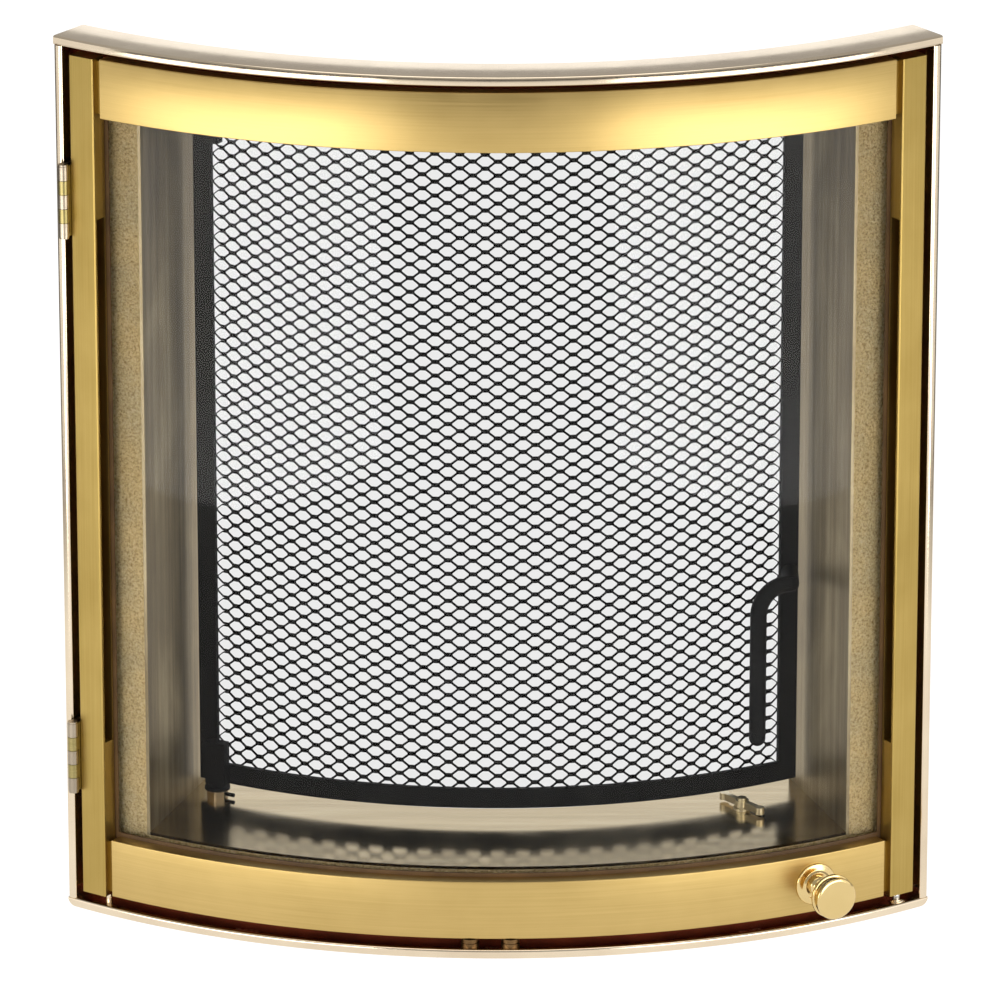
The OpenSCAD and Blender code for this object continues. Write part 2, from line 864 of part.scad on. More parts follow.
module screen_bottom_bar() {
    screen_bar_plate(screen_z0, screen_z0 + screen_bar, -screen_inner_angle, screen_inner_angle);
}

module screen_left_stile() {
    screen_bar_plate(screen_z0, screen_z1, -screen_angle, -screen_inner_angle);
}

module screen_right_stile() {
    screen_bar_plate(screen_z0, screen_z1, screen_inner_angle, screen_angle);
}

// Expanded mesh: rhombic openings on a staggered grid, bent to the screen's arc.
// Grid points with an odd sum are corners of the openings' outlines, and those
// with an even sum are centres of openings.
mesh_lap = 6;                   // lap of the mesh behind the bars
mesh_front = screen_depth + screen_t;
mesh_half = screen_inner_angle + deg_along(mesh_lap, mesh_front);
mesh_z0 = screen_z0 + screen_bar - mesh_lap;
mesh_z1 = screen_z1 - screen_bar + mesh_lap;
grid_w = mesh_across + 1;
cell_w = 2 * mesh_half / mesh_across * PI / 180 * (arc_r - mesh_front);
cell_h = (mesh_z1 - mesh_z0) / mesh_up;
opening = 1 - strand_w / 2 * sqrt(cell_w * cell_w + cell_h * cell_h) / (cell_w * cell_h);

function bent(a, b, depth) =
    let (angle = -mesh_half + 2 * mesh_half * a / mesh_across,
         r = arc_r - depth)
    [r * sin(angle), arc_y - r * cos(angle), mesh_z0 + (mesh_z1 - mesh_z0) * b / mesh_up];

corner_steps = [[1, 0], [0, 1], [-1, 0], [0, -1]];
mesh_cells = [for (b = [1 : mesh_up - 1], a = [1 : mesh_across - 1]) if ((a + b) % 2 == 0) [a, b]];
corner_count = floor(grid_w * (mesh_up + 1) / 2);
function corner_index(a, b) = floor((b * grid_w + a) / 2);
function outer_point(cell, k) = corner_index(cell[0] + corner_steps[k][0], cell[1] + corner_steps[k][1]);
function has_cell(a, b) = a > 0 && a < mesh_across && b > 0 && b < mesh_up;

module screen_mesh() {
    depths = [mesh_front, mesh_front + mesh_t];
    cell_count = len(mesh_cells);
    layer = corner_count + 4 * cell_count;
    points = [
        for (depth = depths) each concat(
            [for (n = [1 : 2 : grid_w * (mesh_up + 1) - 1]) bent(n % grid_w, floor(n / grid_w), depth)],
            [for (cell = mesh_cells, step = corner_steps)
                bent(cell[0] + step[0] * opening, cell[1] + step[1] * opening, depth)])
    ];
    function inner(i, k) = corner_count + 4 * i + k;
    faces = [
        for (i = [0 : cell_count - 1], k = [0 : 3])
            let (cell = mesh_cells[i],
                 next = (k + 1) % 4,
                 o0 = outer_point(cell, k),
                 o1 = outer_point(cell, next),
                 i0 = inner(i, k),
                 i1 = inner(i, next),
                 side = corner_steps[k] + corner_steps[next],
                 edge = !has_cell(cell[0] + side[0], cell[1] + side[1]))
            each concat(
                [[o0, i1, o1], [o0, i0, i1]],
                [[o0 + layer, o1 + layer, i1 + layer], [o0 + layer, i1 + layer, i0 + layer]],
                [[i0, i0 + layer, i1 + layer], [i0, i1 + layer, i1]],
                edge ? [[o0, o1, o1 + layer], [o0, o1 + layer, o0 + layer]] : [])
    ];
    color(soot) polyhedron(points = points, faces = faces);
}

module at_pivot() {
    on_arc(-pivot_angle) translate([0, pivot_depth, 0]) children();
}

module pivot_lug(z0) {
    color(soot) difference() {
        arc_plate(screen_depth - lug_t, screen_depth, z0, z0 + lug_h, -lug_outer_angle, -lug_inner_angle);
        at_pivot() translate([0, 0, z0 - 1]) cylinder(r = pivot_r, h = lug_h + 2);
    }
}

module screen_lower_lug() {
    pivot_lug(screen_z0);
}

module screen_upper_lug() {
    pivot_lug(screen_z1 - lug_h);
}

module screen_pivot_pins() {
    tip_gap = 0.5;
    disc_h = collar_h / 2;
    color(soot) at_pivot() {
        translate([0, 0, floor_z + bush_end + tip_gap])
            cylinder(r = pivot_r, h = screen_z0 + lug_h - floor_z - bush_end - tip_gap);
        translate([0, 0, screen_z0 - collar_h]) cylinder(r = collar_r, h = disc_h);
        translate([0, 0, screen_z0 - collar_h]) cylinder(r = collar_neck_r, h = collar_h);
        translate([0, 0, screen_z1 - lug_h])
            cylinder(r = pivot_r, h = lug_h + screen_top_gap - bush_end - tip_gap);
    }
}

module lower_pivot_bush() {
    color(brass) at_pivot() difference() {
        translate([0, 0, floor_z]) cylinder(r = foot_r, h = foot_z - floor_z);
        translate([0, 0, floor_z + bush_end]) cylinder(r = pivot_r + run_gap, h = screen_lift);
        set_screw_shape();
    }
}

module upper_pivot_bush() {
    color(brass) at_pivot() difference() {
        translate([0, 0, screen_z1 + play]) cylinder(r = upper_bush_r, h = screen_top_gap - play);
        translate([0, 0, screen_z1]) cylinder(r = pivot_r + run_gap, h = screen_top_gap - bush_end);
    }
}

// Small screw in the side of the lower bush
module set_screw_shape() {
    set_screw_r = 1.3;
    set_screw_out = 5.5;
    set_screw_in = 2;
    translate([foot_r - set_screw_in, 0, (floor_z + foot_z) / 2])
        rotate([0, 90, 0])
            cylinder(r = set_screw_r, h = set_screw_in + set_screw_out);
}

module pivot_set_screw() {
    color(soot) at_pivot() set_screw_shape();
}

// Handle: a foot straight forward out of the stile, a quarter bend down and a straight grip
handle_z = screen_z0 + handle_lift;
foot_angle = (screen_inner_angle + screen_angle) / 2;
handle_angle = asin((arc_r - screen_depth) * sin(foot_angle) / (arc_r - screen_depth + handle_reach));
foot_length = (arc_r - screen_depth + handle_reach) * cos(handle_angle) - (arc_r - screen_depth) * cos(foot_angle);

handle_foot_r = handle_r + 0.25;  // the bar is let into a slightly thicker foot

// Round foot with a domed front, back to the plane that touches the stile's face
module handle_foot() {
    difference() {
        at_elbow() rotate([0, 0, -handle_angle]) rotate([-90, 0, 0]) {
            cylinder(r = handle_foot_r, h = foot_length + handle_r);
            sphere(handle_foot_r);
        }
        on_arc(foot_angle)
            translate([-4 * handle_r, screen_depth, handle_z - 4 * handle_r])
                cube(8 * handle_r);
    }
}

module at_elbow() {
    on_arc(handle_angle) translate([0, screen_depth - handle_reach, handle_z]) children();
}

module screen_handle() {
    color(soot) {
        handle_foot();
        at_elbow() handle_bar();
    }
}

module handle_bar() {
    rotate([0, -90, 0]) cylinder(r = handle_r, h = handle_arm);
    translate([-handle_arm, 0, -handle_bend]) {
        rotate([90, 0, 0]) rotate([0, 0, 90])
            rotate_extrude(angle = 90, $fn = 96)
                translate([handle_bend, 0]) circle(handle_r, $fn = 48);
        translate([-handle_bend, 0, -handle_grip]) {
            cylinder(r = handle_r, h = handle_grip);
            sphere(handle_r);
        }
    }
}

// ---- wing screw in front of the screen ----

wing_depth = screen_depth - wing_ahead;
wing_x = (arc_r - screen_depth) * sin(screen_angle) - wing_inset;
wing_angle = asin(wing_x / (arc_r - wing_depth));
boss_h = 1.5;
wing_h = 4.5;

module at_wing_screw() {
    on_arc(wing_angle) translate([0, wing_depth, floor_z]) children();
}

module wing_screw_boss() {
    color(brass) at_wing_screw() difference() {
        cylinder(r = shank_r + 2.5, h = boss_h);
        translate([0, 0, -eps]) cylinder(r = shank_r + run_gap, h = boss_h + 1);
    }
}

module wing_screw() {
    tip_r = 3;
    shank_lift = 0.2;
    shank_h = screen_lift - 2 * play - shank_lift;
    color(brass) at_wing_screw() {
        translate([0, 0, shank_lift]) cylinder(r = shank_r, h = shank_h);
        translate([0, 0, boss_h + play]) rotate([0, 0, -wing_turn - wing_angle]) {
            translate([0, 0, 0]) linear_extrude(wing_h) {
                translate([-wing_len / 2 + tip_r, -wing_t / 2]) square([wing_len - 2 * tip_r, wing_t]);
                for (side = [-1, 1]) translate([side * (wing_len / 2 - tip_r), 0]) circle(tip_r, $fn = 48);
                circle(shank_r + 1.4);
            }
        }
    }
}

// ---- the nodes ----

case_top_bar();
case_bottom_bar();
case_left_bar();
case_right_bar();
flange_top();
flange_bottom();
flange_left();
flange_right();
seal_top();
seal_bottom();
left_seal();  // seal_left
mirror([1, 0, 0]) left_seal();  // seal_right
sleeve_ceiling();
sleeve_floor();
sleeve_left_wall();
sleeve_right_wall();
case_leaf(hinge_middles[1]);  // upper_hinge_case_leaf
case_leaf(hinge_middles[0]);  // lower_hinge_case_leaf
hinge_pins();
hinge_case_screws();
centre_rests();
corner_rest();
catch_housing();
catch_spring();
catch_plunger();
lower_pivot_bush();
upper_pivot_bush();
pivot_set_screw();
wing_screw_boss();
wing_screw();
door_left_stile();
door_right_stile();
door_top_rail();
door_bottom_rail();
flipped() lower_left_bracket();  // bracket_upper_left
flipped() mirror([1, 0, 0]) lower_left_bracket();  // bracket_upper_right
lower_left_bracket();  // bracket_lower_left
mirror([1, 0, 0]) lower_left_bracket();  // bracket_lower_right
bracket_screws();
glass_pane();
glass_tape();
glass_clips();
door_leaf(hinge_middles[1]);  // upper_hinge_door_leaf
door_leaf(hinge_middles[0]);  // lower_hinge_door_leaf
hinge_door_screws();
knob_rosette();
knob_stem();
knob_head();
knob_nut();
screen_top_bar();
screen_bottom_bar();
screen_left_stile();
screen_right_stile();
screen_mesh();
screen_upper_lug();
screen_lower_lug();
screen_pivot_pins();
screen_handle();
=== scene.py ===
import math
import bmesh
import bpy
import numpy as np
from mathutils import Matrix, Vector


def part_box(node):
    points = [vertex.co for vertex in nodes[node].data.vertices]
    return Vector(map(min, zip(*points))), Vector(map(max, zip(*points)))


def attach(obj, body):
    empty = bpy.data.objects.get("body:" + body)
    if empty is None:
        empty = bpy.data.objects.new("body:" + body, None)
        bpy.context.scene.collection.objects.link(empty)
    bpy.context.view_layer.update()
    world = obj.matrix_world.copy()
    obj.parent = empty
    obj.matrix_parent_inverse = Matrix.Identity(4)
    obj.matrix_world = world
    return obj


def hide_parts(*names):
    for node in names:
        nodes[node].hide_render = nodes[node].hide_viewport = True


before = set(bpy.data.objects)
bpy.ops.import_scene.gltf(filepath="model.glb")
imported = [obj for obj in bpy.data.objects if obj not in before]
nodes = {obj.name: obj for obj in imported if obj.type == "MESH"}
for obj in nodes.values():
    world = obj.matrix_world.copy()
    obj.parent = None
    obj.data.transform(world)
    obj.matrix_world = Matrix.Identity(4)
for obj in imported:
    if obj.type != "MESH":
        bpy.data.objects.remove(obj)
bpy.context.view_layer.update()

mm = 0.001
print("frame loaded:", len(nodes), "nodes")

# the front arc, shared by every bent piece
arc = {"width": 0.550, "bow": 0.090}  # metres
arc["radius"] = (arc["width"] ** 2 / 4 + arc["bow"] ** 2) / (2 * arc["bow"])
arc["half"] = math.asin(arc["width"] / 2 / arc["radius"])
arc["y"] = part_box("case_bottom_bar")[0].y + arc["radius"]  # centre of the arc


def alongArc(mmAlong, depthMm=0.0):
    # angle = length / (radius - depth)
    return mmAlong * mm / (arc["radius"] - depthMm * mm)


def onArc(angle, depth, z):
    # x = (R - depth) sin(angle),  y = yc - (R - depth) cos(angle)
    r = arc["radius"] - depth
    return np.stack(np.broadcast_arrays(r * np.sin(angle), arc["y"] - r * np.cos(angle), z), -1)


# door frame, in mm; bar and gap lie between the end of the arc and the stile
door = {"z0": 12.0, "z1": 569.0, "stile": 18.0, "gap": 5.0, "bar": 6.0, "railHeight": 38.5, "joint": 3.5}
stileInner = arc["half"] - alongArc(door["bar"] + door["gap"] + door["stile"])
railEnd = stileInner - alongArc(door["joint"])


def meshObject(name, verts, faces, smoothAngle=35.0, recalc=True):
    mesh = bpy.data.meshes.new(name)
    mesh.from_pydata(np.asarray(verts).reshape(-1, 3).tolist(), [], faces)
    bm = bmesh.new()
    bm.from_mesh(mesh)
    bmesh.ops.remove_doubles(bm, verts=bm.verts, dist=1e-7)
    if recalc:
        bmesh.ops.recalc_face_normals(bm, faces=bm.faces)
    bm.to_mesh(mesh)
    bm.free()
    mesh.polygons.foreach_set("use_smooth", np.ones(len(mesh.polygons), bool))
    mesh.set_sharp_from_angle(angle=math.radians(smoothAngle))
    obj = bpy.data.objects.new(name, mesh)
    bpy.context.scene.collection.objects.link(obj)
    return obj


def gridFaces(rows, cols):
    # quad (i, j), (i+1, j), (i+1, j+1), (i, j+1) over rows of points, each row closed
    i = np.arange(rows - 1)[:, None]
    j = np.arange(cols)[None, :]
    k = (j + 1) % cols
    quads = np.stack([i * cols + j, (i + 1) * cols + j, (i + 1) * cols + k, i * cols + k], -1)
    return quads.reshape(-1, 4).tolist()


def closedTube(name, verts):
    # rows of closed outlines, with a flat face on the first and the last
    rows, cols = verts.shape[:2]
    ends = [list(range(cols)), list(range((rows - 1) * cols, rows * cols))]
    return meshObject(name, verts, gridFaces(rows, cols) + ends)


def roundedOutline(points, radii, steps=5):
    # each corner becomes an arc that is tangent to its two sides
    pts = np.asarray(points, float)
    n = len(pts)
    out = []
    for i in range(n):
        p, a, b = pts[i], pts[i - 1], pts[(i + 1) % n]
        if radii[i] <= 0:
            out.append(p[None])
            continue
        u, v = (a - p) / np.linalg.norm(a - p), (b - p) / np.linalg.norm(b - p)
        half = math.acos(np.clip(u @ v, -1, 1)) / 2
        centre = p + (u + v) / np.linalg.norm(u + v) * radii[i] / math.sin(half)
        s, e = p + u * radii[i] / math.tan(half) - centre, p + v * radii[i] / math.tan(half) - centre
        a0 = math.atan2(s[1], s[0])
        turn = (math.atan2(e[1], e[0]) - a0 + math.pi) % (2 * math.pi) - math.pi
        t = a0 + turn * np.linspace(0, 1, steps + 1)
        out.append(centre + radii[i] * np.stack([np.cos(t), np.sin(t)], -1))
    return np.concatenate(out)


def bentBar(name, outline, angles, lift=None):
    # outline of (depth, z) in mm carried round the arc; lift(angle, z) may move it
    outline = np.asarray(outline) * mm
    z = np.broadcast_to(outline[None, :, 1], (len(angles), len(outline)))
    if lift is not None:
        z = lift(angles[:, None], z)
    return closedTube(name, onArc(angles[:, None], outline[None, :, 0], z))


def lathe(name, profile, origin, axis, segments=96):
    # profile of (radius, height) turned about an axis through origin
    profile = np.asarray(profile) * mm
    axis = np.asarray(axis, float) / np.linalg.norm(axis)
    side = np.cross(axis, [0, 0, 1]) if abs(axis[2]) < 0.9 else np.cross(axis, [0, 1, 0])
    side /= np.linalg.norm(side)
    other = np.cross(axis, side)
    t = np.linspace(0, 2 * math.pi, segments, endpoint=False)
    ring = np.cos(t)[:, None] * side + np.sin(t)[:, None] * other
    verts = origin + profile[:, None, 0, None] * ring[None] + profile[:, None, 1, None] * axis
    return meshObject(name, verts, gridFaces(len(profile), segments))


# finishes: each function takes its look, the colours and numbers that a user would change
def newMaterial(name, settings):
    mat = bpy.data.materials.new(name)
    mat.use_nodes = True
    shader = mat.node_tree.nodes["Principled BSDF"]
    for socket, value in settings.items():
        shader.inputs[socket].default_value = value
    return mat, mat.node_tree.nodes, mat.node_tree.links, shader


def objectCoords(treeNodes, links, scale):
    coords = treeNodes.new("ShaderNodeTexCoord")
    mapping = treeNodes.new("ShaderNodeMapping")
    mapping.inputs["Scale"].default_value = scale
    links.new(coords.outputs["Object"], mapping.inputs["Vector"])
    return mapping.outputs["Vector"]


def noiseOn(treeNodes, links, vector, scale, detail=4.0, roughness=0.55, distortion=0.0):
    noise = treeNodes.new("ShaderNodeTexNoise")
    noise.inputs["Scale"].default_value = scale
    noise.inputs["Detail"].default_value = detail
    noise.inputs["Roughness"].default_value = roughness
    noise.inputs["Distortion"].default_value = distortion
    links.new(vector, noise.inputs["Vector"])
    return noise.outputs["Fac"]


def ramp(treeNodes, links, fac, stops):
    node = treeNodes.new("ShaderNodeValToRGB")
    elements = node.color_ramp.elements
    while len(elements) < len(stops):
        elements.new(0.5)
    for element, (position, colour) in zip(elements, stops):
        element.position = position
        element.color = (*colour, 1)
    links.new(fac, node.inputs["Fac"])
    return node.outputs["Color"]


def toRange(treeNodes, links, fac, low, high, start=0.3, end=0.7):
    # noise lies mostly between 0.3 and 0.7
    node = treeNodes.new("ShaderNodeMapRange")
    for socket, value in (("From Min", start), ("From Max", end), ("To Min", low), ("To Max", high)):
        node.inputs[socket].default_value = value
    links.new(fac, node.inputs["Value"])
    return node.outputs["Result"]


def maths(treeNodes, links, operation, *values):
    # each value is a socket to link or a plain number
    node = treeNodes.new("ShaderNodeMath")
    node.operation = operation
    for socket, value in zip(node.inputs, values):
        if isinstance(value, (int, float)):
            socket.default_value = value
        else:
            links.new(value, socket)
    return node.outputs[0]


def bump(treeNodes, links, height, shader, strength, distance):
    node = treeNodes.new("ShaderNodeBump")
    node.inputs["Strength"].default_value = strength
    node.inputs["Distance"].default_value = distance
    links.new(height, node.inputs["Height"])
    links.new(node.outputs["Normal"], shader.inputs["Normal"])


brushing = {"patch": 26.0, "fineShare": 0.6, "patchShare": 0.4, "smoother": 0.05, "rougher": 0.06, "depth": 0.0002}


def brushedBrass(name, look):
    # fine scratches: noise drawn out along the way the metal was brushed
    mat, t, links, shader = newMaterial(name, {"Metallic": 1.0})
    fine = noiseOn(t, links, objectCoords(t, links, look["grain"]), 1.0, 3.0, 0.7)
    patches = noiseOn(t, links, objectCoords(t, links, [brushing["patch"]] * 3), 1.0, 3.0)
    mix = maths(t, links, "MULTIPLY_ADD", fine, brushing["fineShare"],
                maths(t, links, "MULTIPLY", patches, brushing["patchShare"]))
    links.new(ramp(t, links, mix, [(0.32, look["dark"]), (0.66, look["light"])]), shader.inputs["Base Color"])
    links.new(toRange(t, links, mix, look["rough"] - brushing["smoother"], look["rough"] + brushing["rougher"]),
              shader.inputs["Roughness"])
    bump(t, links, fine, shader, look["bump"], brushing["depth"])
    return mat


polish = {"lacquer": 0.06, "cloud": 14.0, "marks": (60, 60, 500), "smoother": 0.04, "rougher": 0.05, "bump": 0.06,
          "depth": 0.0001}


def polishedBrass(name, look):
    # lacquered bright metal with faint clouding and rare fine marks
    mat, t, links, shader = newMaterial(
        name, {"Metallic": 1.0, "Coat Weight": look["coat"], "Coat Roughness": polish["lacquer"]})
    cloud = noiseOn(t, links, objectCoords(t, links, (1, 1, 1)), polish["cloud"], 3.0)
    links.new(ramp(t, links, cloud, [(0.35, look["dark"]), (0.65, look["light"])]), shader.inputs["Base Color"])
    marks = noiseOn(t, links, objectCoords(t, links, polish["marks"]), 1.0, 5.0, 0.7)
    links.new(toRange(t, links, marks, look["rough"] - polish["smoother"], look["rough"] + polish["rougher"]),
              shader.inputs["Roughness"])
    bump(t, links, marks, shader, polish["bump"], polish["depth"])
    return mat


rolling = {"stretch": (1, 1, 0.5), "stain": 17.0, "stainShare": 0.55, "lineShare": 0.45, "roughSpread": 0.06,
           "depth": 0.0004}


def sleeveSheet(name, look):
    # cold rolled sheet: soft stains crossed by streaks along the rolling direction
    mat, t, links, shader = newMaterial(name, {"Metallic": look["metal"]})
    stain = noiseOn(t, links, objectCoords(t, links, rolling["stretch"]), rolling["stain"], 5.0, 0.6, 0.4)
    lines = noiseOn(t, links, objectCoords(t, links, look["streak"]), 1.0, 3.0, 0.6)
    mix = maths(t, links, "MULTIPLY_ADD", stain, rolling["stainShare"],
                maths(t, links, "MULTIPLY", lines, rolling["lineShare"]))
    links.new(ramp(t, links, mix, [(0.36, look["dark"]), (0.5, look["middle"]), (0.64, look["light"])]),
              shader.inputs["Base Color"])
    links.new(toRange(t, links, stain, look["rough"] - rolling["roughSpread"], look["rough"] + rolling["roughSpread"]),
              shader.inputs["Roughness"])
    bump(t, links, stain, shader, look["bump"], rolling["depth"])
    return mat


def fibreSeal(name, look):
    # pressed ceramic fibre: pits and loops of yarn under a dusting of specks
    mat, t, links, shader = newMaterial(name, {"Roughness": 0.95, "Specular IOR Level": 0.2})
    vector = objectCoords(t, links, (1, 1, 1))
    cells = t.new("ShaderNodeTexVoronoi")
    cells.inputs["Scale"].default_value = look["cells"]
    links.new(vector, cells.inputs["Vector"])
    specks = noiseOn(t, links, vector, look["specks"], 5.0, 0.7)
    patches = noiseOn(t, links, vector, look["patches"], 3.0)
    tone = ramp(t, links, specks, [(0.33, look["dark"]), (0.5, look["middle"]), (0.68, look["light"])])
    tint = ramp(t, links, patches, [(0.4, look["warm"]), (0.62, look["cool"])])
    blend = t.new("ShaderNodeMix")
    blend.data_type = "RGBA"
    blend.blend_type = "MULTIPLY"
    blend.inputs["Factor"].default_value = look["tinting"]
    links.new(tone, blend.inputs["A"])
    links.new(tint, blend.inputs["B"])
    links.new(blend.outputs["Result"], shader.inputs["Base Color"])
    bump(t, links, maths(t, links, "ADD", cells.outputs["Distance"], specks), shader, look["bump"], look["depth"])
    return mat


coating = {"grain": 900.0, "wear": 30.0, "smoother": 0.06, "rougher": 0.08, "bump": 0.25, "depth": 0.0001}


def blackPaint(name, look):
    # stove paint: near black, slightly grained
    mat, t, links, shader = newMaterial(name, {"Specular IOR Level": look["gloss"]})
    vector = objectCoords(t, links, (1, 1, 1))
    grain = noiseOn(t, links, vector, coating["grain"], 3.0)
    wear = noiseOn(t, links, vector, coating["wear"], 4.0)
    links.new(ramp(t, links, wear, [(0.35, look["dark"]), (0.7, look["light"])]), shader.inputs["Base Color"])
    links.new(toRange(t, links, grain, look["rough"] - coating["smoother"], look["rough"] + coating["rougher"]),
              shader.inputs["Roughness"])
    bump(t, links, grain, shader, coating["bump"], coating["depth"])
    return mat


def plainSteel(name, look):
    mat, t, links, shader = newMaterial(name, {"Metallic": 1.0})
    marks = noiseOn(t, links, objectCoords(t, links, look["marks"]), 1.0, 4.0)
    links.new(ramp(t, links, marks, [(0.35, look["dark"]), (0.65, look["light"])]), shader.inputs["Base Color"])
    links.new(toRange(t, links, marks, look["rough"] - look["spread"], look["rough"] + look["spread"]),
              shader.inputs["Roughness"])
    return mat


def glassFinish(name, look):
    return newMaterial(name, {"Transmission Weight": 1.0, "Roughness": 0.0, "IOR": look["ior"],
                              "Base Color": (*look["colour"], 1)})[0]


railLook = {"dark": (0.52, 0.36, 0.125), "light": (0.60, 0.425, 0.160), "rough": 0.35, "bump": 0.08,
            "grain": (9, 9, 900)}
stileLook = {"dark": (0.39, 0.265, 0.071), "light": (0.47, 0.332, 0.103), "rough": 0.33, "bump": 0.10,
             "grain": (900, 900, 9)}
hingeLook = {**stileLook, "dark": (0.27, 0.22, 0.08), "light": (0.37, 0.30, 0.13), "grain": (40, 40, 700)}
# centre rests: a near-black copy of the brushed brass, painted shade for the dim gap they sit in
restShadeLook = {"dark": (0.10, 0.055, 0.022), "light": (0.24, 0.14, 0.06), "rough": 0.35, "bump": 0.2,
            "grain": (300, 300, 300)}
leafLook = {"dark": (0.33, 0.27, 0.20), "light": (0.46, 0.39, 0.29), "rough": 0.32, "coat": 0.0}
brightLook = {"dark": (0.72, 0.59, 0.43), "light": (0.82, 0.69, 0.51), "rough": 0.13, "coat": 0.1}
knobLook = {"dark": (0.66, 0.48, 0.19), "light": (0.76, 0.57, 0.26), "rough": 0.14, "coat": 0.3}
# wing screw: a lighter copy of the polished brass, painted brightening for its highlights
wingLitLook = {"dark": (0.84, 0.70, 0.42), "light": (0.95, 0.84, 0.58), "rough": 0.36, "coat": 0.4}
wallLook = {"dark": (0.23, 0.170, 0.090), "middle": (0.39, 0.305, 0.175), "light": (0.61, 0.50, 0.31),
            "rough": 0.42, "metal": 0.75, "bump": 0.12, "streak": (160, 160, 3)}
floorLook = {"dark": (0.50, 0.41, 0.25), "middle": (0.60, 0.49, 0.31), "light": (0.70, 0.59, 0.39),
             "rough": 0.16, "metal": 1.0, "bump": 0.03, "streak": (6, 120, 6)}
# flange: dark steel with a maroon tint, a painted reflection of the brass bars and painted shade in the gap round the
# door
flangeReflectionLook = {"dark": (0.17, 0.026, 0.010), "middle": (0.23, 0.036, 0.014), "light": (0.30, 0.052, 0.020),
              "rough": 0.6, "metal": 0.3, "bump": 0.1, "streak": (30, 30, 3)}
sealLook = {"cells": 520.0, "specks": 640.0, "patches": 22.0, "dark": (0.42, 0.28, 0.12), "middle": (0.86, 0.67, 0.36),
            "light": (0.99, 0.84, 0.55), "warm": (0.98, 0.90, 0.72), "cool": (0.83, 0.82, 0.76), "tinting": 0.8,
            "bump": 0.8, "depth": 0.0012}
paintLook = {"dark": (0.013, 0.013, 0.013), "light": (0.020, 0.020, 0.019), "rough": 0.5, "gloss": 0.05}
tapeLook = {"dark": (0.07, 0.034, 0.010), "light": (0.13, 0.066, 0.020), "rough": 0.5, "gloss": 0.5}
steelLook = {"dark": (0.45, 0.44, 0.42), "light": (0.62, 0.61, 0.58), "rough": 0.28, "spread": 0.05,
             "marks": (400, 400, 60)}
# door glass: its grey colour is partly the glass's own and partly painted shade, dimming what is seen through the door
glassShadeLook = {"ior": 1.15, "colour": (0.81, 0.81, 0.805)}

railBrass = brushedBrass("railBrass", railLook)
stileBrass = brushedBrass("stileBrass", stileLook)
hingeBrass = brushedBrass("hingeBrass", hingeLook)
restShadedBrass = brushedBrass("restShadedBrass", restShadeLook)
leafBrass = polishedBrass("leafBrass", leafLook)
brightBrass = polishedBrass("brightBrass", brightLook)
knobBrass = polishedBrass("knobBrass", knobLook)
wingLitBrass = polishedBrass("wingLitBrass", wingLitLook)
wallSheet = sleeveSheet("wallSheet", wallLook)
floorSheet = sleeveSheet("floorSheet", floorLook)
flangeSteelAndReflection = sleeveSheet("flangeSteelAndReflection", flangeReflectionLook)
sealFibre = fibreSeal("sealFibre", sealLook)
stovePaint = blackPaint("stovePaint", paintLook)
sealTape = blackPaint("sealTape", tapeLook)
clipSteel = plainSteel("clipSteel", steelLook)
doorGlass = glassFinish("doorGlass", glassShadeLook)
print("finishes ready")

finishOf = {
    brightBrass: ["case_top_bar", "case_bottom_bar", "case_left_bar", "case_right_bar", "corner_rest",
                  "catch_housing", "lower_pivot_bush", "upper_pivot_bush"],
    restShadedBrass: ["centre_rests"],
    knobBrass: ["knob_rosette", "knob_stem", "knob_head"],
    wingLitBrass: ["wing_screw", "wing_screw_boss"],
    railBrass: ["door_top_rail", "door_bottom_rail"],
    stileBrass: ["door_left_stile", "door_right_stile", "bracket_upper_left", "bracket_upper_right",
                 "bracket_lower_left", "bracket_lower_right"],
    leafBrass: ["upper_hinge_case_leaf", "lower_hinge_case_leaf", "hinge_pins", "hinge_case_screws"],
    hingeBrass: ["upper_hinge_door_leaf", "lower_hinge_door_leaf", "hinge_door_screws", "bracket_screws", "knob_nut"],
    wallSheet: ["sleeve_left_wall", "sleeve_right_wall"],
    floorSheet: ["sleeve_floor", "sleeve_ceiling"],
    flangeSteelAndReflection: ["flange_top", "flange_bottom", "flange_left", "flange_right"],
    sealFibre: ["seal_top", "seal_bottom", "seal_left", "seal_right"],
    stovePaint: ["screen_top_bar", "screen_bottom_bar", "screen_left_stile", "screen_right_stile", "screen_mesh",
                 "screen_upper_lug", "screen_lower_lug", "screen_pivot_pins", "screen_handle", "pivot_set_screw"],
    sealTape: ["glass_tape"],
    clipSteel: ["glass_clips", "catch_spring", "catch_plunger"],
    doorGlass: ["glass_pane"],
}

for finish, names in finishOf.items():
    for name in names:
        mesh = nodes[name].data
        mesh.materials.clear()
        mesh.materials.append(finish)
missing = sorted(set(nodes) - {n for names in finishOf.values() for n in names})
print("nodes without a finish:", missing)


def place(obj, finish, body, slotName, *replaced):
    obj.data.materials.append(finish)
    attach(obj, body)
    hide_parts(*replaced)


# case bars, in mm: edge, sideEdge and backEdge are the radii of their long edges
bars = {"thick": 6.0, "deep": 30.0, "height": 580.0, "edge": 1.5, "sideEdge": 1.95, "backEdge": 0.4,
        "cornerRadius": 5.0, "cornerLeft": 1.2, "cornerSteps": 8, "catchLip": 1.2, "boreOver": 1.0, "steps": 121,
        "levels": 5}


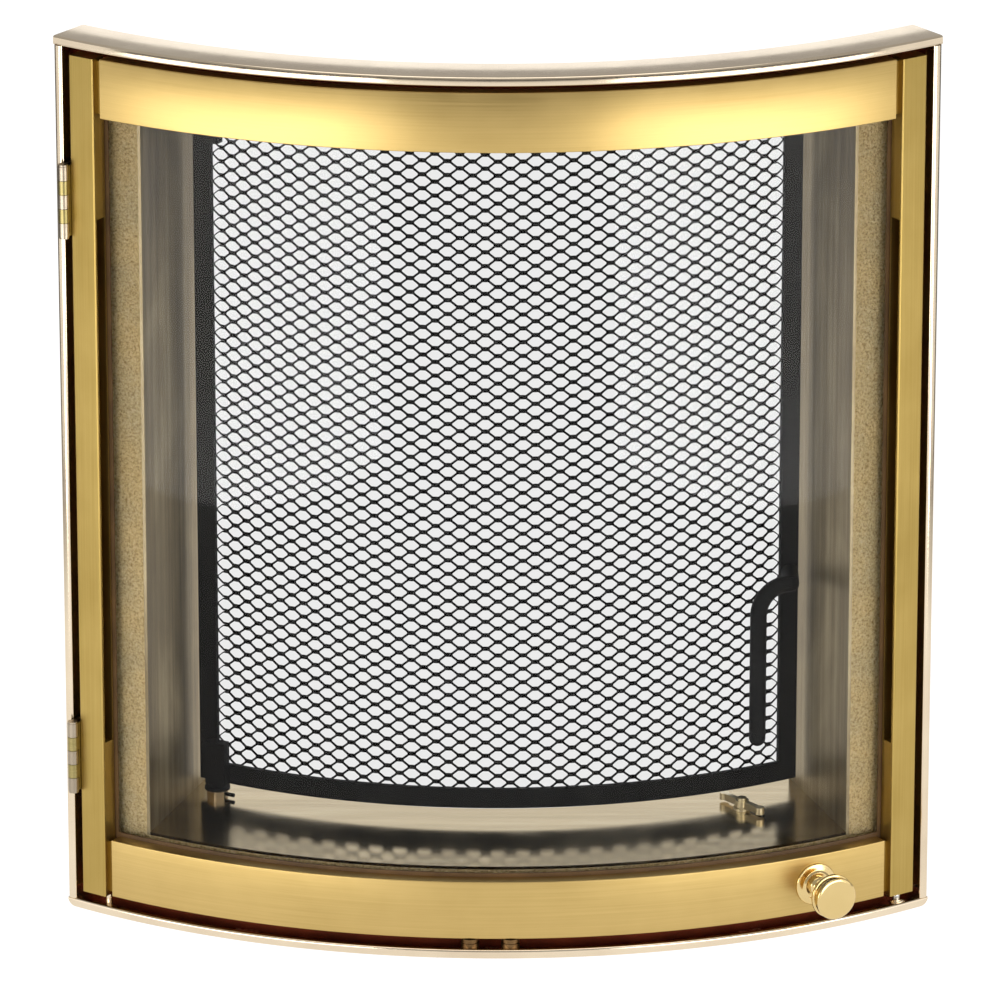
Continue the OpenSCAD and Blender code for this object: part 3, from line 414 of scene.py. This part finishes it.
def caseBar(name, z0, roundedEnds):
    t, d, e = bars["thick"], bars["deep"], bars["edge"]
    outline = roundedOutline([(0, z0), (d, z0), (d, z0 + t), (0, z0 + t)], [e, bars["backEdge"], bars["backEdge"], e])
    end = alongArc(bars["cornerRadius"])
    middle = np.linspace(-arc["half"] + end, arc["half"] - end, bars["steps"])
    corner = end * (1 - np.cos(np.linspace(0, math.pi / 2, bars["cornerSteps"] + 1)[:-1]))
    angles = np.concatenate([-arc["half"] + corner, middle, (arc["half"] - corner)[::-1]])

    def liftCorner(angle, z):
        # underside = z0 + r - sqrt(r^2 - (r - s)^2), with s the distance from the end
        r = bars["cornerRadius"]
        s = np.clip((arc["half"] - np.abs(angle)) * arc["radius"] / mm, 0, r)
        under = r - np.sqrt(np.maximum(r * r - (r - s) ** 2, 0))
        under = np.minimum(under, t - bars["cornerLeft"])
        part = (z / mm - z0) / t
        return (z0 + under + part * (t - under)) * mm

    return bentBar(name, outline, angles, liftCorner if roundedEnds else None)


def boredForCatch(bar):
    # hole through the bar for the catch housing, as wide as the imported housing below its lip
    low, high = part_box("catch_housing")
    radius = (high.x - low.x) / 2 / mm - bars["catchLip"]
    under, over = -bars["boreOver"], bars["thick"] + bars["boreOver"]
    centre = ((low.x + high.x) / 2, (low.y + high.y) / 2, 0)
    bore = lathe("catchBore", [(0, under), (radius, under), (radius, over), (0, over)], centre, (0, 0, 1), 48)
    cut = bar.modifiers.new("bore", "BOOLEAN")
    cut.object = bore
    cut.solver = "EXACT"
    bored = bpy.data.meshes.new_from_object(bar.evaluated_get(bpy.context.evaluated_depsgraph_get()))
    bar.modifiers.clear()
    bar.data = bored
    bpy.data.objects.remove(bore)
    return bar


def sideBar(name, side):
    # plan outline of (across, depth) at the end of the arc, carried straight up between the two bent bars
    t, d, e, b = bars["thick"], bars["deep"], bars["sideEdge"], bars["backEdge"]
    outline = roundedOutline([(0, 0), (t, 0), (t, d), (0, d)], [e, e, b, b], 6) * mm
    a = side * arc["half"]
    inward = -side * np.array([math.cos(a), math.sin(a), 0])
    back = np.array([-math.sin(a), math.cos(a), 0])
    plan = onArc(np.array(a), 0.0, 0.0) + outline[:, :1] * inward + outline[:, 1:] * back
    levels = np.linspace(t, bars["height"] - t, bars["levels"]) * mm
    return closedTube(name, np.stack([plan + (0, 0, z) for z in levels]))


place(sideBar("caseLeftBar", -1), brightBrass, "case", "polished_brass", "case_left_bar")
place(sideBar("caseRightBar", 1), brightBrass, "case", "polished_brass", "case_right_bar")
topBar = caseBar("caseTopBar", bars["height"] - bars["thick"], False)
bottomBar = boredForCatch(caseBar("caseBottomBar", 0.0, True))
place(topBar, brightBrass, "case", "polished_brass", "case_top_bar")
place(bottomBar, brightBrass, "case", "polished_brass", "case_bottom_bar")
print("case bars")

# door rails, in mm behind the arc
rail = {"face": 4.0, "plate": 3.0, "back": 13.5, "lip": 2.0, "edge": 0.7, "lipEdge": 0.3, "fold": 0.5, "steps": 97}


def doorRail(name, z0):
    # channel section: a face plate with a lip turned back along each edge
    top, face, back = z0 + door["railHeight"], rail["face"], rail["back"]
    inside, low, high = face + rail["plate"], z0 + rail["lip"], top - rail["lip"]
    points = [(face, z0), (back, z0), (back, low), (inside, low), (inside, high), (back, high), (back, top),
              (face, top)]
    radii = [rail[key] for key in ("edge", "lipEdge", "lipEdge", "fold", "fold", "lipEdge", "lipEdge", "edge")]
    return bentBar(name, roundedOutline(points, radii, 4), np.linspace(-railEnd, railEnd, rail["steps"]))


place(doorRail("topRail", door["z1"] - door["railHeight"]), railBrass, "door", "brushed_brass", "door_top_rail")
place(doorRail("bottomRail", door["z0"]), railBrass, "door", "brushed_brass", "door_bottom_rail")
print("door rails")

# expanded mesh of the spark screen, in mm
net = {"depth": 103.0, "thick": 1.0, "pitch": 15.8, "rows": 49, "strand": 1.8, "bond": 3.8, "twist": 0.35,
       "front": 0.25, "smoothAngle": 60.0}
# where the outlines pass, in half strands from the cell's sides: flat belongs to the cell, the rest to the opening
outlineAt = {"flat": 0.6, "side": 0.9, "shoulder": 1.7, "rise": 0.1, "lean": 0.3, "brow": 1.5, "top": 1.56}


def fourQuarters(quarter):
    # outline from right to top, mirrored into the other three quarters
    return np.concatenate([quarter, (quarter * (-1, 1))[::-1][1:], (quarter * -1)[1:], (quarter * (1, -1))[::-1][1:-1]])


def expandedMesh(name):
    # openings sit on a staggered grid; each is a ring of strand between a twelve-sided cell and a rounder opening
    low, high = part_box("screen_mesh")
    depth, thick = net["depth"] * mm, net["thick"] * mm
    r = arc["radius"] - depth
    middle = low.z + (high.z - low.z) / 2
    w, h = net["pitch"] / 2 * mm, (high.z - low.z) / 2 / net["rows"]
    columns = int(r * math.asin(high.x / r) / w)
    a, b = np.meshgrid(np.arange(1, 2 * columns), np.arange(1, 2 * net["rows"]), indexing="ij")
    keep = (a + b) % 2 == 0
    centre = np.stack([(a[keep] - columns) * w, (b[keep] - net["rows"]) * h], -1)

    bond, t = net["bond"] / 2 * mm, net["strand"] / 2 * mm
    flat = outlineAt["flat"] * t
    outer = fourQuarters(np.array([(w, 0), (w - bond, flat), (bond, h - flat), (0, h)]))
    across = np.array([h - 2 * flat, w - 2 * bond])  # square to the strand, half a strand long
    across *= t / math.hypot(*across)
    inner = fourQuarters(np.array([
        (w - bond - outlineAt["side"] * t, 0),
        (w - bond - outlineAt["shoulder"] * across[0], flat + outlineAt["rise"] * across[1]),
        (bond - outlineAt["lean"] * across[0], h - outlineAt["brow"] * t),
        (0, h - outlineAt["top"] * t)]))
    tilt = outer[:, 1] / h * net["twist"] * mm
    layers = []
    for outline, back, push in ((outer, 0.0, 0), (inner, net["front"], tilt), (inner, 1.0, 0), (outer, 1.0, 0)):
        p = centre[:, None, :] + outline[None]
        layers.append(onArc(p[..., 0] / r, depth + back * thick + push * (1 - back), middle + p[..., 1]))
    verts = np.stack(layers, 1)  # cell, layer, corner
    sides = len(outer)
    i = np.arange(len(centre))[:, None, None] * sides * len(layers)
    layer = np.arange(len(layers) - 1)[None, :, None] * sides
    j = np.arange(sides)[None, None, :]
    k = (j + 1) % sides
    faces = np.stack([i + layer + j, i + layer + k, i + layer + sides + k, i + layer + sides + j], -1)
    return meshObject(name, verts, faces.reshape(-1, 4).tolist(), net["smoothAngle"])


place(expandedMesh("screenNet"), stovePaint, "screen", "black_paint", "screen_mesh")
print("expanded mesh")

# knob, in mm; along is the way round the arc from the middle
knob = {"along": 210.03, "rosette": 13.75, "head": 14.25, "reach": 30.0, "headThick": 9.0}
knobAngle = alongArc(knob["along"])
knobFoot = onArc(np.array(knobAngle), rail["face"] * mm, (door["z0"] + door["railHeight"] / 2) * mm)
knobAxis = np.array([math.sin(knobAngle), -math.cos(knobAngle), 0])
headR, headZ = knob["head"], knob["reach"] - knob["headThick"]
# profiles of (radius, height over the rail) in mm, with the rounding of each corner
rosetteProfile = roundedOutline(
    [(0, 0), (knob["rosette"], 0), (knob["rosette"], 1.6), (11.4, 2.2), (9.6, 2.6), (8.4, 3.8), (0, 3.8)],
    [0, 0, 0.8, 1.5, 1.5, 0.8, 0])
neckProfile = roundedOutline(
    [(0, 3.8), (6.4, 3.8), (6.4, 6.2), (4.6, 7.4), (4.4, headZ - 4), (7.6, headZ - 1.6), (7.6, headZ), (0, headZ)],
    [0, 0, 1.1, 1.2, 4, 1.2, 0, 0])
headProfile = roundedOutline(
    [(0, headZ), (headR - 1.2, headZ), (headR, headZ + 0.8), (headR, headZ + 2.6), (headR - 1.9, headZ + 3.1),
     (headR - 1.9, headZ + 4.3), (headR - 0.7, headZ + 4.7), (headR - 0.5, knob["reach"] - 0.7),
     (headR - 2.2, knob["reach"]), (0, knob["reach"])],
    [0, 0.5, 0.9, 0.7, 0.25, 0.25, 0.6, 1.0, 1.2, 0])
place(lathe("knobRosette", rosetteProfile, knobFoot, knobAxis), knobBrass, "door", "polished_brass", "knob_rosette")
place(lathe("knobNeck", neckProfile, knobFoot, knobAxis), knobBrass, "door", "polished_brass", "knob_stem")
place(lathe("knobHead", headProfile, knobFoot, knobAxis), knobBrass, "door", "polished_brass", "knob_head")
print("knob")

# floor, light and camera, in metres
stage = {"floor": (0.15, 0.15, 0.15), "drop": 0.0002, "size": 30.0, "world": 0.45,
         "glow": 0.93, "beyond": 0.06,  # emission of the paper and of the dark studio beyond it
         "paper": 0.75, "fade": 1.15, "front": -1.9, "frontFade": -2.7}  # the paper ends aside and ahead


def stageFloor():
    s, z = stage["size"], -stage["drop"]
    obj = meshObject("stageFloor", [(-s, -s, z), (s, -s, z), (s, s, z), (-s, s, z)], [[0, 1, 2, 3]], recalc=False)
    mat, t, links, shader = newMaterial("stagePaper", {"Roughness": 0.9, "Specular IOR Level": 0.1,
                                        "Base Color": (*stage["floor"], 1), "Emission Color": (1, 1, 1, 1)})
    # the paper ends to the left, right and front: metal mirrors the dark studio beyond it, the camera sees white
    spot = t.new("ShaderNodeSeparateXYZ")
    links.new(t.new("ShaderNodeNewGeometry").outputs["Position"], spot.inputs["Vector"])
    aside = maths(t, links, "ABSOLUTE", spot.outputs["X"])
    edge = toRange(t, links, aside, stage["glow"], stage["beyond"], stage["paper"], stage["fade"])
    front = toRange(t, links, spot.outputs["Y"], stage["beyond"], 1.0, stage["frontFade"], stage["front"])
    seen = t.new("ShaderNodeMix")
    seen.inputs["B"].default_value = 1.0
    links.new(t.new("ShaderNodeLightPath").outputs["Is Camera Ray"], seen.inputs["Factor"])
    links.new(maths(t, links, "MULTIPLY", edge, front), seen.inputs["A"])
    links.new(seen.outputs["Result"], shader.inputs["Emission Strength"])
    obj.data.materials.append(mat)


# place, aim and size in metres, power in watts; the front and side boxes stand on both sides
lights = {"frontBox": ((0.66, -0.68, 0.18), (0, 0, 0.18), (0.78, 0.36), 3.5),
          "sideBox": ((1.10, -0.28, 0.30), (0.2, 0, 0.30), (0.35, 0.8), 0.75),
          "overBox": ((0, -0.4, 2.6), (0, 0, 0), (2.0, 1.6), 14),
          "backBox": ((0, 3.4, 0.95), (0, 0, 0.95), (4.0, 1.3), 12.5)}


def softbox(name, side=1):
    at, aim, size, power = lights[name]
    at, aim = np.array(at, float) * (side, 1, 1), np.array(aim, float) * (side, 1, 1)
    light = bpy.data.lights.new(name, "AREA")
    light.shape = "RECTANGLE"
    light.size, light.size_y = size
    light.energy = power
    obj = bpy.data.objects.new(name, light)
    bpy.context.scene.collection.objects.link(obj)
    d = (aim - at) / np.linalg.norm(aim - at)
    obj.location = at
    obj.rotation_euler = (math.acos(-d[2]), 0, math.atan2(-d[0], d[1]))


stageFloor()
for side in (-1, 1):
    softbox("frontBox", side)
    softbox("sideBox", side)
softbox("overBox")
softbox("backBox")

world = bpy.data.worlds.new("studio")
bpy.context.scene.world = world
world.use_nodes = True
world.node_tree.nodes["Background"].inputs["Color"].default_value = (1, 1, 1, 1)
world.node_tree.nodes["Background"].inputs["Strength"].default_value = stage["world"]

# the camera, in metres, degrees and mm of lens and sensor; down and right move it beside its aim
view = {"target": (0.0, 0.001235, 0.290), "distance": 5.5, "elevation": 19.6, "lens": 314.8, "sensor": 36, "far": 100,
        "down": 0.0138, "right": 0.00126}
elevation = math.radians(view["elevation"])
camera = bpy.data.cameras.new("camera")
camera.lens = view["lens"]
camera.sensor_width = view["sensor"]
camera.clip_end = view["far"]
cameraObject = bpy.data.objects.new("camera", camera)
bpy.context.scene.collection.objects.link(cameraObject)
up = np.array([0, math.sin(elevation), math.cos(elevation)])
away = np.array([0, -math.cos(elevation), math.sin(elevation)])
cameraObject.location = (np.array(view["target"]) + view["distance"] * away - view["down"] * up
                         + view["right"] * np.array([1, 0, 0]))
cameraObject.rotation_euler = (math.pi / 2 - elevation, 0, 0)
bpy.context.scene.camera = cameraObject
bpy.context.scene.view_settings.view_transform = "Standard"
print("stage set")
